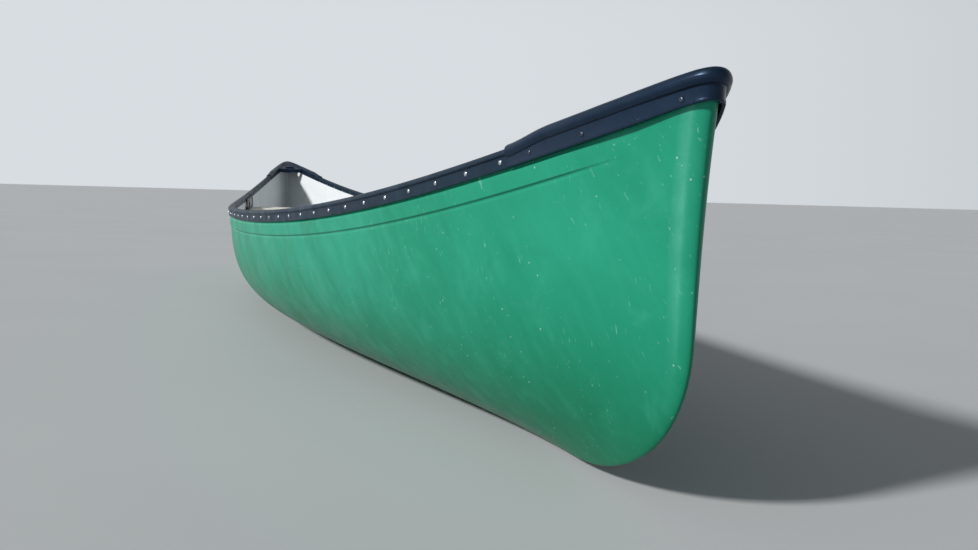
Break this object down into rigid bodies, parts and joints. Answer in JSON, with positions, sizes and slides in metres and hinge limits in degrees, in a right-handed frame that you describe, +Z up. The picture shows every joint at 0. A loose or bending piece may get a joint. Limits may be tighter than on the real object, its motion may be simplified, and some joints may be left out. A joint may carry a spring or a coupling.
{
  "type": "canoe",
  "caption": "Open two-person canoe with a sandwich hull, vinyl gunwales riveted over its edge, moulded end decks with hand-holds, hung bench seats and a carrying yoke.",
  "frame": {"origin": "on the ground under the middle of the canoe, at the centre of the hull's flat bottom", "axes": "+X towards the bow, +Y to port, +Z up from the ground that the hull rests on"},
  "size_m": [4.8956, 0.9366, 0.6318],
  "materials": {
    "hull_skin": "moulded green plastic, lightly scratched",
    "foam": "closed-cell foam",
    "liner": "off-white moulded plastic",
    "vinyl": "extruded vinyl, satin",
    "aluminium": "mill finish",
    "deck_plastic": "moulded plastic, satin, scuffed",
    "rivet": "bright",
    "seat_plastic": "moulded, satin",
    "bracket": "black powder coat",
    "steel": "stainless",
    "wood": "oiled ash"
  },
  "bodies": {
    "root": {"hull_outer_skin": "hull_skin", "hull_foam_core": "foam", "hull_inner_skin": "liner", "gunwale_port": "vinyl", "gunwale_starboard": "vinyl", "gunwale_stiffener_port": "aluminium", "gunwale_stiffener_starboard": "aluminium", "bow_deck": "deck_plastic", "stern_deck": "deck_plastic", "gunwale_rivets_port": "rivet", "gunwale_rivets_starboard": "rivet", "bow_deck_rivets": "rivet", "stern_deck_rivets": "rivet", "bow_seat": "seat_plastic", "bow_seat_hanger_port": "bracket", "bow_seat_hanger_starboard": "bracket", "bow_seat_bolts": "steel", "bow_seat_nuts": "steel", "stern_seat": "seat_plastic", "stern_seat_hanger_port": "bracket", "stern_seat_hanger_starboard": "bracket", "stern_seat_bolts": "steel", "stern_seat_nuts": "steel", "centre_yoke": "wood", "yoke_bracket_port": "bracket", "yoke_bracket_starboard": "bracket", "yoke_bolts": "steel", "yoke_nuts": "steel"}
  },
  "joints": []
}
